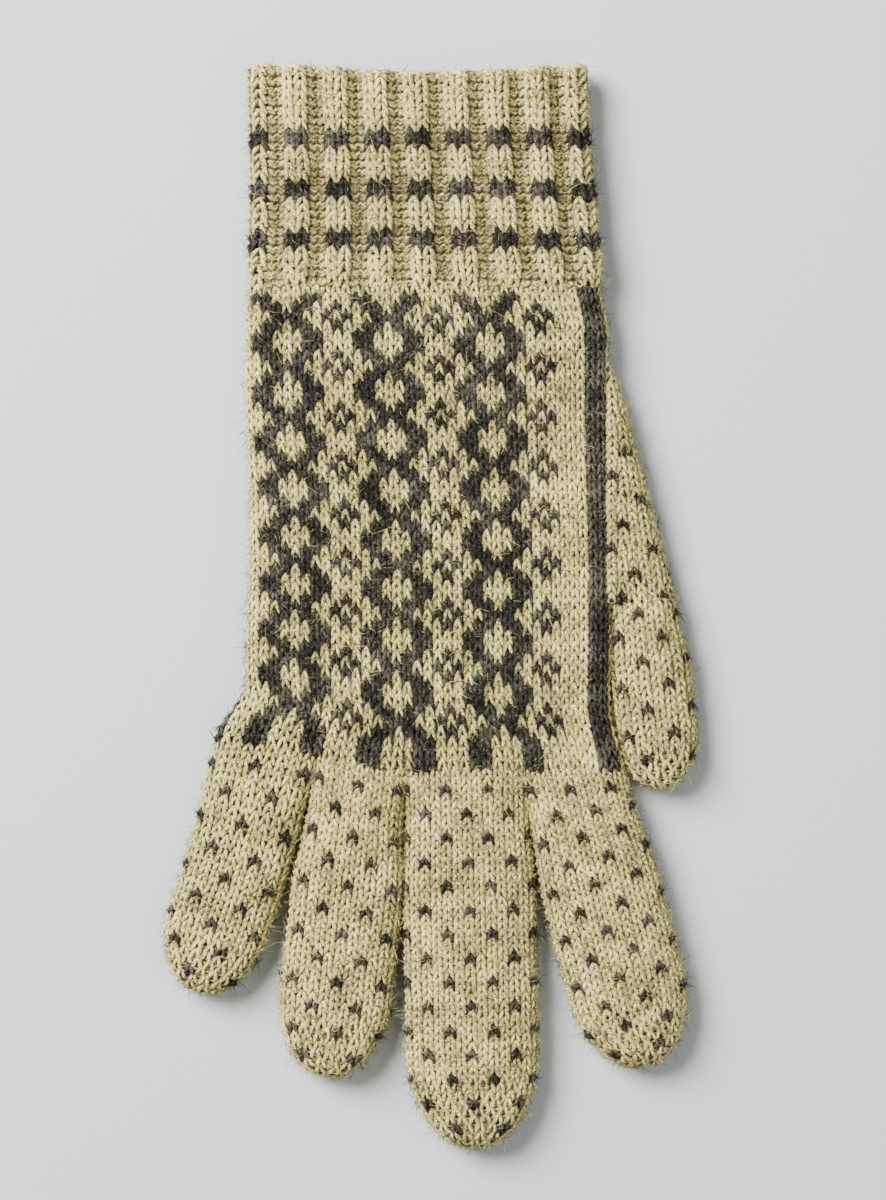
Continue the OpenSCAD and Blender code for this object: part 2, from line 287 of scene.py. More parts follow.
class Knitting:
    """Collects tubes, sheets and hairs, and turns them into one mesh."""

    def __init__(self, name):
        self.name = name
        self.points, self.quads, self.caps = [], [], []
        self.uv, self.yarn, self.colour = [], [], []
        self.count = 0
        self.strips = 0

    def add_points(self, points):
        start = self.count
        self.points.append(points)
        self.count += len(points)
        return start

    def tube(self, run):
        """A tube round the points of a run, capped at its ends."""
        p, whole = run["point"], run["whole"]
        if whole:
            tangent = unit(np.roll(p, -1, axis=0) - np.roll(p, 1, axis=0))
        else:
            tangent = unit(np.gradient(p, axis=0))
        side = unit(np.cross(tangent, run["normal"]))
        ring = circle(np.cross(side, tangent), side, sides)
        ring = p[:, None] + ring * run["radius"][:, None, None]
        ring[:, :, 2] = np.maximum(ring[:, :, 2], floor_z)
        start = self.add_points(ring.reshape(-1, 3))
        pieces = len(p) if whole else len(p) - 1
        a = np.arange(pieces)[:, None]
        b = (a + 1) % len(p)
        j = np.arange(sides)[None, :]
        k = (j + 1) % sides
        quad = np.stack([a * sides + j, a * sides + k, b * sides + k, b * sides + j], -1)
        self.quads.append(quad.reshape(-1, 4) + start)
        step = np.linalg.norm(np.diff(p, axis=0), axis=1)
        if whole:
            step = np.append(step, np.linalg.norm(p[0] - p[-1]))
        length = np.concatenate([[0], np.cumsum(step)])
        u0, u1 = length[:-1][:, None], length[1:][:, None]
        v0, v1 = j / sides, (j + 1) / sides
        one = np.ones((pieces, sides))
        us = np.stack([u0 * one, u0 * one, u1 * one, u1 * one], -1)
        vs = np.stack([v0 * one, v1 * one, v1 * one, v0 * one], -1)
        # the turn round the strand is moved on by its painted shade, so more of the darkened flank
        # shows
        yarn = np.stack([us / MM, vs + run["shade"][:, None, None]], -1)
        strip = np.stack([us / max(length[-1], 1e-9) * 0.99, vs * 0.9 + self.strips], -1)
        self.yarn.append(yarn.reshape(-1, 2))
        self.uv.append(strip.reshape(-1, 2))
        self.colour.append(np.repeat(run["colour"], sides))
        if not whole:
            corner = np.arange(sides)
            spot = (0.995, self.strips)
            self.caps.append((start + corner[::-1], run["colour"][0], spot))
            self.caps.append((start + (len(p) - 1) * sides + corner, run["colour"][-1], spot))
        self.strips += 1

    def sheet(self, outer, inner, colour, closed):
        """A thin closed sheet between two grids of the same size."""
        start = self.add_points(np.concatenate([outer.reshape(-1, 3), inner.reshape(-1, 3)]))
        below = outer.shape[0] * outer.shape[1]
        index = np.arange(below).reshape(outer.shape[:2])
        if closed:
            index = np.hstack([index, index[:, :1]])

        def wall(line, flip):
            edge = np.stack([line[:-1], line[1:], line[1:] + below, line[:-1] + below], -1)
            return edge[:, ::-1] if flip else edge

        top = np.stack([index[:-1, :-1], index[1:, :-1], index[1:, 1:], index[:-1, 1:]], -1)
        rows, cols = top.shape[:2]
        under = top[..., ::-1] + below
        walls = [wall(index[0], False), wall(index[-1], True)]
        if not closed:
            walls += [wall(index[:, 0], True), wall(index[:, -1], False)]
        walls = np.concatenate(walls)
        quads = np.concatenate([top.reshape(-1, 4), under.reshape(-1, 4), walls])
        self.quads.append(quads + start)
        flat = np.ravel(colour)
        self.colour.append(np.concatenate([flat, flat, np.full(len(walls), flat[0])]))
        u = (np.arange(cols)[None, :, None] + np.array([0, 0, 1, 1.0])) / cols
        v = (np.arange(rows)[:, None, None] + np.array([0, 1.0, 1, 0])) / rows
        face = np.stack(np.broadcast_arrays(u, v), -1).reshape(-1, 2)
        tall = face * (0.99, 1.9)
        rim = np.tile([[0.992, 0], [0.999, 0], [0.999, 0.1], [0.992, 0.1]], (len(walls), 1))
        rim = rim + (0, self.strips)
        self.uv.append(np.concatenate([tall + (0, self.strips), tall + (0, self.strips + 2), rim]))
        # the turns here run through many rounds, so the painted flank shade of the wool darkens this
        # layer in bands
        self.yarn.append(np.concatenate([face * (60, 20), face * (60, 20), rim]))
        self.strips += 4

    def build(self, materials):
        """The finished Blender object."""
        points = np.concatenate(self.points)
        loops = np.concatenate(self.quads).ravel()
        starts = np.arange(0, len(loops), 4)
        uv, yarn = np.concatenate(self.uv), np.concatenate(self.yarn)
        colour = np.concatenate(self.colour)
        if self.caps:
            rings, cap_colour, cap_uv = zip(*self.caps)
            sizes = np.array([len(ring) for ring in rings])
            ends = len(loops) + np.cumsum(sizes)
            starts = np.concatenate([starts, ends - sizes])
            loops = np.concatenate([loops, *rings])
            spot = np.repeat(np.array(cap_uv, float), sizes, axis=0)
            uv, yarn = np.concatenate([uv, spot]), np.concatenate([yarn, spot])
            colour = np.concatenate([colour, cap_colour])
        mesh = bpy.data.meshes.new(self.name)
        mesh.vertices.add(len(points))
        mesh.vertices.foreach_set("co", points.astype(np.float32).ravel())
        mesh.loops.add(len(loops))
        mesh.loops.foreach_set("vertex_index", loops.astype(np.int32))
        mesh.polygons.add(len(starts))
        mesh.polygons.foreach_set("loop_start", starts.astype(np.int32))
        mesh.polygons.foreach_set("material_index", colour.astype(np.int32))
        mesh.polygons.foreach_set("use_smooth", np.ones(len(starts), bool))
        uv[:, 1] /= max(self.strips, 1)
        for name, values in (("OFBake", uv), ("Yarn", yarn)):
            layer = mesh.uv_layers.new(name=name)
            layer.data.foreach_set("uv", values.astype(np.float32).ravel())
        for material in materials:
            mesh.materials.append(material)
        mesh.update(calc_edges=True)
        mesh.validate()
        obj = bpy.data.objects.new(self.name, mesh)
        bpy.context.scene.collection.objects.link(obj)
        print(self.name, "points", len(points), "faces", len(starts))
        return obj


print("mesh builder ready")

# %% [markdown]
# ## Wool as a material
# Woollen yarn is two plies twisted together, and each ply is a bundle of crimped fibres.
# No two fibres have quite the same colour, and a natural grey is a blend of black, brown
# and white ones. One node group makes that heathered colour and paints shade on the flanks
# of each strand, where it meets its neighbours; a second one makes the relief of plies and
# fibres, which is too fine for the mesh. Both wools use both groups
# with values of their own, so that they look spun on the same wheel.

# %% Node helpers
def new_group(name, inputs, outputs):
    """A shader node group with named sockets, and its input and output nodes."""
    group = bpy.data.node_groups.new(name, "ShaderNodeTree")
    for label, kind, value in inputs:
        socket = group.interface.new_socket(name=label, in_out="INPUT", socket_type=kind)
        socket.default_value = value
    for label, kind in outputs:
        group.interface.new_socket(name=label, in_out="OUTPUT", socket_type=kind)
    return group, group.nodes.new("NodeGroupInput"), group.nodes.new("NodeGroupOutput")


def feed(tree, socket, value):
    """Sets a socket to a number, or links another socket to it."""
    if isinstance(value, (int, float)):
        socket.default_value = value
    else:
        tree.links.new(value, socket)


def calc(tree, operation, *values, clamp=False):
    """The result of a Math node."""
    node = tree.nodes.new("ShaderNodeMath")
    node.operation = operation
    node.use_clamp = clamp
    for socket, value in zip(node.inputs, values):
        feed(tree, socket, value)
    return node.outputs[0]


def noise(tree, vector, scale, detail, rough=0.6):
    """The value of a Noise Texture node."""
    node = tree.nodes.new("ShaderNodeTexNoise")
    for label, value in (("Vector", vector), ("Scale", scale), ("Detail", detail),
                         ("Roughness", rough)):
        feed(tree, node.inputs[label], value)
    return node.outputs["Fac"]


def mix(tree, first, second, share):
    """Two colours mixed by a factor."""
    node = tree.nodes.new("ShaderNodeMix")
    node.data_type = "RGBA"
    for label, value in (("A", first), ("B", second), ("Factor", share)):
        tree.links.new(value, node.inputs[label])
    return node.outputs["Result"]


def strand_vector(tree):
    """Noise coordinates that follow the twist, and turns round the yarn with and without it."""
    uv = tree.nodes.new("ShaderNodeUVMap")
    uv.uv_map = "Yarn"
    parts = tree.nodes.new("ShaderNodeSeparateXYZ")
    tree.links.new(uv.outputs[0], parts.inputs[0])
    along, around = parts.outputs[0], parts.outputs[1]
    twisted = calc(tree, "MULTIPLY_ADD", along, 0.30, around)
    joined = tree.nodes.new("ShaderNodeCombineXYZ")
    tree.links.new(calc(tree, "MULTIPLY", along, 0.9), joined.inputs[0])
    tree.links.new(calc(tree, "MULTIPLY", twisted, 9.0), joined.inputs[1])
    return joined.outputs[0], twisted, around


print("node helpers ready")


# %% Node groups
def yarn_relief_group():
    """Height of plies and fibres."""
    group, _, out = new_group("Yarn relief", [], [("Height", "NodeSocketFloat")])
    strand, twisted, _ = strand_vector(group)
    place = group.nodes.new("ShaderNodeTexCoord").outputs["Object"]
    ply = calc(group, "SINE", calc(group, "MULTIPLY", twisted, 4 * math.pi))
    ply = calc(group, "ABSOLUTE", ply)
    fibre = noise(group, strand, 0.95, 4.0, 0.75)
    felt = noise(group, place, 1700.0, 3.0, 0.7)
    height = calc(group, "MULTIPLY_ADD", ply, 0.35, calc(group, "MULTIPLY", fibre, 0.9))
    height = calc(group, "MULTIPLY_ADD", felt, 0.55, height)
    group.links.new(height, out.inputs["Height"])
    return group


def heather_and_shade_group():
    """Wool colour: slow blotches, fibre streaks and single stray fibres, with painted shade on the
    flanks of each strand.
    """
    given = [(label, "NodeSocketColor", (1, 1, 1, 1)) for label in ("Deep", "Main", "Light", "Stray")]
    given += [(label, "NodeSocketFloat", 0.5) for label in ("Blotch", "Stray amount")]
    group, given, out = new_group("Heathered and shaded wool", given,
                                  [("Color", "NodeSocketColor"), ("Roughness", "NodeSocketFloat")])
    given = given.outputs
    strand, _, around = strand_vector(group)
    place = group.nodes.new("ShaderNodeTexCoord").outputs["Object"]
    blotch = calc(group, "SUBTRACT", noise(group, place, 130.0, 3.0), 0.5)
    fibre = noise(group, strand, 0.95, 5.0, 0.8)
    felt = noise(group, place, 2300.0, 2.0, 0.7)
    slow = calc(group, "MULTIPLY", blotch, given["Blotch"])
    tone = calc(group, "ADD", calc(group, "MULTIPLY", fibre, 0.6), slow)
    tone = calc(group, "MULTIPLY_ADD", felt, 0.4, tone)
    ramp = group.nodes.new("ShaderNodeMapRange")
    ramp.inputs["From Min"].default_value = 0.43
    ramp.inputs["From Max"].default_value = 0.57
    group.links.new(tone, ramp.inputs["Value"])
    lower = calc(group, "MULTIPLY", ramp.outputs[0], 2.0, clamp=True)
    upper = calc(group, "MULTIPLY_ADD", ramp.outputs[0], 2.0, -1.0, clamp=True)
    colour = mix(group, given["Deep"], given["Main"], lower)
    colour = mix(group, colour, given["Light"], upper)
    stray = calc(group, "GREATER_THAN", noise(group, strand, 5.5, 2.0), 0.62)
    stray = calc(group, "MULTIPLY", stray, given["Stray amount"])
    colour = mix(group, colour, given["Stray"], stray)
    # painted shade: the flanks of each strand, where it meets its neighbours, mix towards the deep
    # tone
    top = calc(group, "COSINE", calc(group, "MULTIPLY", around, 2 * math.pi))
    flank = calc(group, "MULTIPLY_ADD", top, -1.6, 1.17)
    flank = calc(group, "MULTIPLY_ADD", felt, 0.5, flank, clamp=True)
    group.links.new(mix(group, colour, given["Deep"], flank), out.inputs["Color"])
    rough = calc(group, "MULTIPLY_ADD", fibre, 0.15, 0.80)
    group.links.new(rough, out.inputs["Roughness"])
    return group


relief_group = yarn_relief_group()
colour_group = heather_and_shade_group()
print("node groups:", [g.name for g in bpy.data.node_groups])


# %% [markdown]
# ## The two wools
# Wool scatters light along its fibres, which lifts the edges of the yarn. Subsurface light
# would blur the stitches, so the sheen of the Principled shader does it. There is no gloss
# worth speaking of.

# %% Wool materials
def srgb(r, g, b):
    """A colour given in the usual 0 to 255 steps, as linear light."""
    c = np.array([r, g, b]) / 255.0
    c = np.where(c <= 0.04045, c / 12.92, ((c + 0.055) / 1.055) ** 2.4)
    return (*[float(x) for x in c], 1.0)


def wool(name, tones, sheen):
    """A woollen yarn material."""
    material = bpy.data.materials.new(name)
    material.use_nodes = True
    tree = material.node_tree
    shader = tree.nodes["Principled BSDF"]
    colour = tree.nodes.new("ShaderNodeGroup")
    colour.node_tree = colour_group
    for label, value in tones.items():
        colour.inputs[label].default_value = value
    tree.links.new(colour.outputs["Color"], shader.inputs["Base Color"])
    tree.links.new(colour.outputs["Roughness"], shader.inputs["Roughness"])
    relief = tree.nodes.new("ShaderNodeGroup")
    relief.node_tree = relief_group
    bump = tree.nodes.new("ShaderNodeBump")
    bump.inputs["Strength"].default_value = 0.9
    bump.inputs["Distance"].default_value = 0.34 * MM
    tree.links.new(relief.outputs["Height"], bump.inputs["Height"])
    tree.links.new(bump.outputs["Normal"], shader.inputs["Normal"])
    shader.inputs["Specular IOR Level"].default_value = 0.15
    shader.inputs["Sheen Weight"].default_value = sheen
    shader.inputs["Sheen Roughness"].default_value = 0.55
    shader.inputs["Sheen Tint"].default_value = tones["Light"]
    print("material", name)
    return material


cream = {"Deep": srgb(100, 92, 62), "Main": srgb(204, 190, 116), "Light": srgb(255, 247, 160),
         "Stray": srgb(255, 252, 200), "Blotch": 0.2, "Stray amount": 0.5}
grey = {"Deep": srgb(13, 12, 10), "Main": srgb(46, 44, 37), "Light": srgb(96, 92, 78),
        "Stray": srgb(190, 183, 150), "Blotch": 0.5, "Stray amount": 0.5}
wools = [wool("Cream wool", cream, 0.10), wool("Dark grey wool", grey, 0.05)]

# %% [markdown]
# ## Pieces of a tube
# A glove bends at its folds, so each tube is handed out as several pieces that meet
# between two rows. Each piece has its courses, and under them a thin felted layer made of
# the floats that run behind the stitches. Without it, light would leak through. Knitting
# each float would double the mesh for something that only the inside shows.

# %% Piece maker
felt_outer, felt_inner = 0.50 * MM, 0.95 * MM
pieces_made = []


def tie(obj, zone):
    """Fixes an object to a body; an object between two bodies only gets its transform applied."""
    if isinstance(zone, str):
        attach(obj, zone)
    else:
        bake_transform(obj)


def knit_piece(part, shell, fabric, rows, zone, node=None, columns=None,
               extra=None):
    """One knitted piece: rows first to last, and in each row the given runs of columns."""
    rng = np.random.default_rng(11 + len(pieces_made))
    pieces_made.append(part)
    work = Knitting(part + "_knit")
    runs = []
    for row in range(*rows):
        for first, last in columns or [(0, fabric["stitches"](row))]:
            runs.append(course(shell, fabric, row, first, last, rng))
            work.tube(runs[-1])
    felt_layer(work, shell, fabric, rows, columns)
    if extra:
        extra(work, rng)
    piece = work.build(wools)
    tie(piece, zone)
    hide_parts(node or part)
    return runs


def felt_layer(work, shell, fabric, rows, columns):
    """The felted floats behind the stitches, coloured like the stitches in front."""
    total = fabric["stitches"](rows[0])
    levels = np.arange(rows[0], rows[1] + 1).astype(float)
    for first, last in columns or [(0, total)]:
        closed = last - first == total and shell["closed"]
        cols = np.arange(first, last + (0 if closed else 1)).astype(float)
        v, u = np.meshgrid(levels, cols, indexing="ij")
        point, normal, rise = lay(shell, fabric, v, u, total)
        outer, inner = (point + normal * (rise - d)[..., None] for d in (felt_outer, felt_inner))
        for side in (outer, inner):
            side[..., 2] = np.maximum(side[..., 2], floor_z)
        tint = [[fabric["colour"](row, column) for column in range(first, last)]
                for row in range(*rows)]
        work.sheet(outer, inner, tint, closed)


print("piece maker ready")

# %% [markdown]
# ## Wool fibres that stand off
# Fulled wool has a halo of loose fibre ends. They soften every edge of the glove, and
# dark ones stray over cream stitches. Blender's hair would do it, but it isn't a mesh that
# can be handed on, so each is a thin three-sided hair of its own with a bend.

# %% Loose fibres
hair_steps = 2
hair_sides = 3
hair_longest, hair_shortest = 3.6 * MM, 0.8 * MM
hair_radius = 0.075 * MM
hair_floor = 0.1 * MM
dark_shedding = 3.0   # how many times more hairs grow from the dark yarn
hair_shaded = 0.3     # share of the hairs that is shaded, and how far in turns


def loose_fibres(name, runs, per_stitch):
    """Hairs that grow from the yarn of the given runs, as one object."""
    colour = np.concatenate([r["colour"] for r in runs])
    point, normal, radius = (np.concatenate([r[key][:len(r["colour"])] for r in runs])
                             for key in ("point", "normal", "radius"))
    amount = int(per_stitch * len(colour) / segments)
    rng = np.random.default_rng(len(name) * 7 + 5)
    weight = 1.0 + dark_shedding * colour
    pick = rng.choice(len(point), amount, p=weight / weight.sum())
    colour, normal = colour[pick], normal[pick]
    tangent = unit(np.cross(normal, rng.normal(size=(amount, 3))))
    rise = rng.uniform(0.0, 0.75, (amount, 1)) ** 1.6
    way = unit(normal * rise + tangent * (1.1 - rise))
    bend = rng.normal(0, 0.45, (amount, 3))
    length = hair_longest * rng.beta(1.6, 2.8, (amount, 1)) + hair_shortest
    base = point[pick] + normal * radius[pick][:, None] * 0.95
    t = np.linspace(0, 1, hair_steps + 1)[None, :, None]
    line = base[:, None] + length[:, None] * (way[:, None] * t + bend[:, None] * t * t * 0.5)
    line[..., 2] = np.maximum(line[..., 2], hair_floor)
    side = unit(np.cross(way, tangent + normal * 0.3))
    ring = circle(side, np.cross(way, side), hair_sides)[:, None]
    ring = line[:, :, None] + ring * (hair_radius * (1 - 0.5 * t))[..., None]
    work = Knitting(name)
    start = work.add_points(ring.reshape(-1, 3))
    ends = start + np.arange(amount) * (hair_steps + 1) * hair_sides
    a = ends[:, None, None] + np.arange(hair_steps)[None, :, None] * hair_sides
    j = np.arange(hair_sides)[None, None, :]
    k = (j + 1) % hair_sides
    quad = np.stack([a + j, a + k, a + hair_sides + k, a + hair_sides + j], -1)
    work.quads.append(quad.reshape(-1, 4))
    faces = hair_steps * hair_sides
    grid = math.ceil(math.sqrt(amount))
    cell = np.repeat(np.arange(amount), faces * 4)
    spot = np.stack([cell % grid, cell // grid], -1)
    corner = np.tile([[0, 0], [0, 0.8], [0.8, 0.8], [0.8, 0.0]], (amount * faces, 1))
    work.uv.append((spot + corner) / grid)
    strand = corner * (1, 0.1) + spot * (3.1, 0)
    shaded = rng.random(amount) < hair_shaded
    strand[:, 1] += np.repeat(shaded * hair_shaded, faces * 4)
    work.yarn.append(strand)
    work.colour.append(np.repeat(colour, faces))
    for end, tint in zip(ends, colour):
        work.caps.append((end + np.array([2, 1, 0]), tint, (0.999, 0.999)))
        work.caps.append((end + faces + np.array([0, 1, 2]), tint, (0.999, 0.999)))
    work.strips = 1
    return work.build(wools)


print("hair maker ready")

# %% [markdown]
# ## The cuff
# The cuff is worked in rib: two knit stitches stand proud and two purl stitches sink
# back between them, all the way round. The ribs pull themselves narrow at the mouth.
# Pairs of dark stitches on every rib make three rows of checks. Relief on the surface
# would show ridges only. Here every stitch is moved, so its yarn crosses over at the
# edge of a rib as in real rib.

# %% Cuff surface
cuff_rows = 24
cuff_stitches = 68
cuff_left = hand_left + 1.1 * MM
cuff_mouth_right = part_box("cast_on_edge")[1].x - 1.2 * MM
cuff_wrist_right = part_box("cuff")[1].x + 0.6 * MM
wrist_flare = 1.1 * MM
mouth_sag = 0.8 * MM


def waver(grid, seed, size, steepest=160):
    """Slow, smooth unevenness over the cloth: the sum of five waves that cross."""
    rng = np.random.default_rng(seed)
    total = np.zeros(grid.shape[:-1])
    for _ in range(5):
        kx, ky = rng.uniform(-1, 1, 2) * steepest
        total = total + np.sin(kx * grid[..., 0] + ky * grid[..., 1] + rng.uniform(0, 6.28))
    return total / 2.2 * size


def level_tube(left, right, y, half, around, powers):
    """A tube that runs straight along Y and rests on the table, and its middle height."""
    centre = np.stack([(left + right) / 2, y], -1)
    across = np.tile([1.0, 0.0], (len(y), 1))
    mid = skin + half
    grid = tube_grid(centre, across, (right - left) / 2, half, half, mid, around, powers)
    return grid, mid[:, None]


def cuff_surface():
    v = np.linspace(0, 1, cuff_rows * stations + 1)
    y = cuff_y + (wrist_y - cuff_y) * v
    left = cuff_left + skin + 0.5 * MM * np.sin(3.1 * v)
    right = cuff_mouth_right + (cuff_wrist_right - cuff_mouth_right) * smooth(v * 1.1) - skin
    right = right + wrist_flare * smooth((v - 0.75) / 0.25)
    wrist_half = (hand_top - 2 * skin) / 2
    mouth_half = (cuff_top - 2 * skin - 0.7 * MM) / 2
    half = mouth_half + (wrist_half - mouth_half) * smooth((v - 0.6) / 0.4)
    grid, mid = level_tube(left, right, y, half, 216, (4.0, 4.2))
    grid[..., 2] += waver(grid, 3, 0.22 * MM) * (grid[..., 2] > mid)
    grid[..., 1] += waver(grid, 4, 0.35 * MM)
    sag = np.cos((grid[..., 0] - hand_mid_x) / (hand_width / 2) * 3.4) * mouth_sag
    grid[..., 1] -= sag * smooth((0.25 - v) / 0.25)[:, None]
    return surface(grid)


cuff_shell = cuff_surface()
print("cuff surface", cuff_shell["grid"].shape)


# %% Cuff stitches
rib = 4
rib_rise, check_flattens = 1.40, 0.50     # millimetres
rib_spread, check_closes = 0.25, 0.15     # stitches
CHECK_ROWS = (7, 13, 19)      # the two dark rows of a check meet here
wrist_zone = ("hand", "cuff", (hand_mid_x, wrist_y - 10 * MM, 0),
              (hand_mid_x, wrist_y + 12 * MM, 0))


def rib_face(column):
    """+1 on the two knit stitches of each rib, -1 on the two purl stitches."""
    return np.where(np.asarray(column) % rib < 2, 1.0, -1.0)


def rib_relief(column, row):
    """Knit stitches spread and rise, purl stitches close up and sink. Checks pinch the rib."""
    phase = 2 * np.pi * (column - 1) / rib
    ease = smooth((cuff_rows + 0.5 - row) / 3)
    pinch = sum(np.exp(-((row - c) / 1.3) ** 2) for c in CHECK_ROWS)
    rise = (rib_rise - check_flattens * pinch) * np.cos(phase) * MM * ease
    return column + (rib_spread - check_closes * pinch) * np.sin(phase) * ease, rise


def cuff_colour(row, column):
    check = row in [c + i for c in CHECK_ROWS for i in (-1, 0)]
    return DARK if check and column % rib < 2 else CREAM


cuff_fabric = {
    "stitches": lambda row: cuff_stitches,
    "face": rib_face,
    "relief": rib_relief,
    "drift": lambda row, column: -0.2,
    "colour": cuff_colour,
    "yarn": 0.62 * MM,
}
cuff_runs = knit_piece("cuff", cuff_shell, cuff_fabric, (0, cuff_rows), wrist_zone)

# %% [markdown]
# ## The cast-on edge
# A cast-on edge is a row of loops with a second strand wrapped through their feet. It
# shows as a firm rope of small slanting turns that rolls over the ends of the ribs. A
# plain ring would look like piping, so the strand is wound here too, two turns a stitch.

# %% Cast-on edge
edge_step = 10                # stretches of yarn in one stitch of the rope
edge_roll = 0.50 * MM
edge_reach = mouth_y - cuff_y - 1.6 * MM


def edge_surface():
    first = cuff_shell["grid"][0]
    back = np.linspace(1, 0, stations + 1)
    return surface(np.array([first + np.array([0, edge_reach, 0]) * t for t in back]))


def edge_rope(work, rng):
    """The wrapped strand round the very edge."""
    count = cuff_stitches * edge_step
    i = np.arange(count)
    turn = 2 * np.pi * i / edge_step
    column, rise = rib_relief(i / edge_step + 0.1 * np.sin(turn), np.zeros(count))
    point, normal = on_surface(edge_shell, np.full(count, 0.2), (column - 0.2) / cuff_stitches)
    lift = rise + edge_roll * np.sin(turn) - 0.05 * MM
    point = point + normal * lift[:, None]
    point[:, 1] += edge_roll * np.cos(turn) + rng.normal(0, 0.04 * MM, count)
    work.tube({"point": point, "normal": normal, "radius": np.full(count, cuff_fabric["yarn"]),
               "colour": np.full(count, CREAM), "whole": True, "shade": np.zeros(count)})


edge_shell = edge_surface()
edge_fabric = {**cuff_fabric, "colour": lambda row, column: CREAM}
edge_runs = knit_piece("cast_on_edge", edge_shell, edge_fabric, (0, 1), "cuff", extra=edge_rope)

# %% [markdown]
# ## The hand
# The hand is one tube of 74 stitches, 38 for the back and 36 for the palm. It swells a
# little where the fingers begin, and there its top dips between one finger and the next.
# The round twists slightly as it lies, so the columns creep sideways down the hand. The
# back and the palm are cut from one surface, so that their stitches meet at the sides.

# %% Fingers as numbers
# root width, full width, stitches round the finger, length from the fold to the tip
FINGERS = {
    "little": (22.8 * MM, 24 * MM, 20, 47.2 * MM),
    "ring": (21 * MM, 26 * MM, 22, 65.6 * MM),
    "middle": (28.2 * MM, 31 * MM, 26, 82.4 * MM),
    "index": (23.6 * MM, 27.6 * MM, 24, 64.8 * MM),
}
finger_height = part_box("middle_lower_section")[1].z
root_spread = 1.3 * MM        # neighbours press into each other where they leave the hand


def line_of(root, knuckle):
    """Start point and direction of a finger, from two of its folds."""
    a = np.array(fold_at[root][:2])
    b = np.array(fold_at[knuckle][:2])
    return a, (b - a) / np.linalg.norm(b - a)


AXIS = {f: line_of(f + "_root_fold", f + "_knuckle_fold") for f in FINGERS}


def at_row(finger):
    """Where a finger's axis crosses the row that it starts from, and its half width there."""
    root, way = AXIS[finger]
    back = (row_y - root[1]) / way[1]
    width = FINGERS[finger][0]
    return root[0] + way[0] * back, (width / 2 - skin + root_spread) / abs(way[1])


def set_back(x):
    """The little finger leaves the hand a few rows before the others do."""
    return 6.0 * MM * smooth((-8 * MM - x) / (36 * MM))


feet = {f: at_row(f) for f in FINGERS}
print({f: [round(float(x) * 1000, 1) for x in feet[f]] for f in feet})


# %% Hand surface
hand_rows = 48
hand_stitches = 74
root_dip = 0.35               # lowest the hand gets between two fingers, of its full height


def root_crowns(x):
    """Height factor of the row of finger roots at x: 1 over each finger, low between."""
    crown = np.zeros(np.shape(x))
    for centre, half in feet.values():
        inside = np.clip(np.abs(x - centre) / half, 0, 1)
        crown = np.maximum(crown, (1 - inside ** 3.4) ** (1 / 3.4))
    return np.maximum(crown, root_dip)


def hand_surface():
    v = np.linspace(0, 1, hand_rows * stations + 1)
    y = wrist_y + (row_y - wrist_y) * (v + 0.06 * v * (v - 1))
    flare = smooth((v - 0.86) / 0.14) ** 1.4
    left_end = feet["little"][0] - feet["little"][1]
    right_end = feet["index"][0] + feet["index"][1]
    left = hand_left + skin + (left_end - hand_left - skin) * flare
    right = hand_right - skin + (right_end - hand_right + skin) * flare
    left = left - 0.5 * MM * np.sin(v * 9) + 0.3 * MM
    narrow = hand_right - cuff_wrist_right - wrist_flare
    right = right - narrow * smooth((0.11 - v) / 0.11) - 0.4 * MM * np.sin(v * 7)
    half = np.full(len(v), (hand_top - 2 * skin) / 2)
    grid, mid = level_tube(left, right, y, half, 228, (3.6, 4.2))
    x, z = grid[..., 0], grid[..., 2]
    end = smooth((v - 0.90) / 0.10)[:, None]
    finger_mid = finger_height / 2
    target = finger_mid + np.sign(z - mid) * (finger_mid - skin) * root_crowns(x)
    inside = (x > left_end + MM) & (x < right_end - MM)
    grid[..., 2] = np.where(inside, z + (target - z) * end, z)
    grid[..., 2] += waver(grid, 7, 0.30 * MM) * (z > mid) * (1 - end)
    grid[..., 1] += waver(grid, 8, 0.45 * MM) * (1 - end) * smooth(v / 0.06)[:, None]
    grid[..., 1] += set_back(x) * smooth((v - 0.45) / 0.55)[:, None]
    return surface(grid)


hand_shell = hand_surface()
print("hand surface", hand_shell["grid"].shape)

# %% [markdown]
# ## The pattern of the hand
# Five rows make one repeat of the chart. A ring of dark stitches round a cream eye, seven
# stitches wide, stands beside a small cross of three. A dark stripe two stitches wide
# borders the back on the thumb side, and another one runs under the outer edge. The colour
# belongs to whole stitches, as in knitting, and so the pattern follows every bend.

# %% Chart
CHART = (
    "..XXX..X.X",
    ".XX.XX..X.",
    "XX...XX...",
    "XX...XX...",
    ".XX.XX..X.",
)
CHART_FIRST, CHART_REPEATS, CHART_START_ROW = 1, 3, 3
THUMB_STRIPE = (34, 36)
BACK_END = 38
LITTLE_STRIPE = (71, 73)


def spot(row, place, spot_row, offset=0):
    """Single dark stitches: one in four, every third row, each row between the last."""
    shift = offset + 2 * ((row // 3) % 2)
    return DARK if row % 3 == spot_row and (place + shift) % 4 == 0 else CREAM


def hand_colour(row, column):
    column = column % hand_stitches
    if any(stripe[0] <= column < stripe[1] for stripe in (THUMB_STRIPE, LITTLE_STRIPE)):
        return DARK
    if row == 0:
        return CREAM
    if column >= BACK_END:
        return spot(row, column, 1) if BACK_END < column < LITTLE_STRIPE[0] - 1 else CREAM
    place = column - CHART_FIRST
    if not 0 <= place < len(CHART[0]) * CHART_REPEATS:
        return CREAM
    line = CHART[(min(row, hand_rows - 2) - CHART_START_ROW) % len(CHART)]
    return DARK if line[place % len(line)] == "X" else CREAM


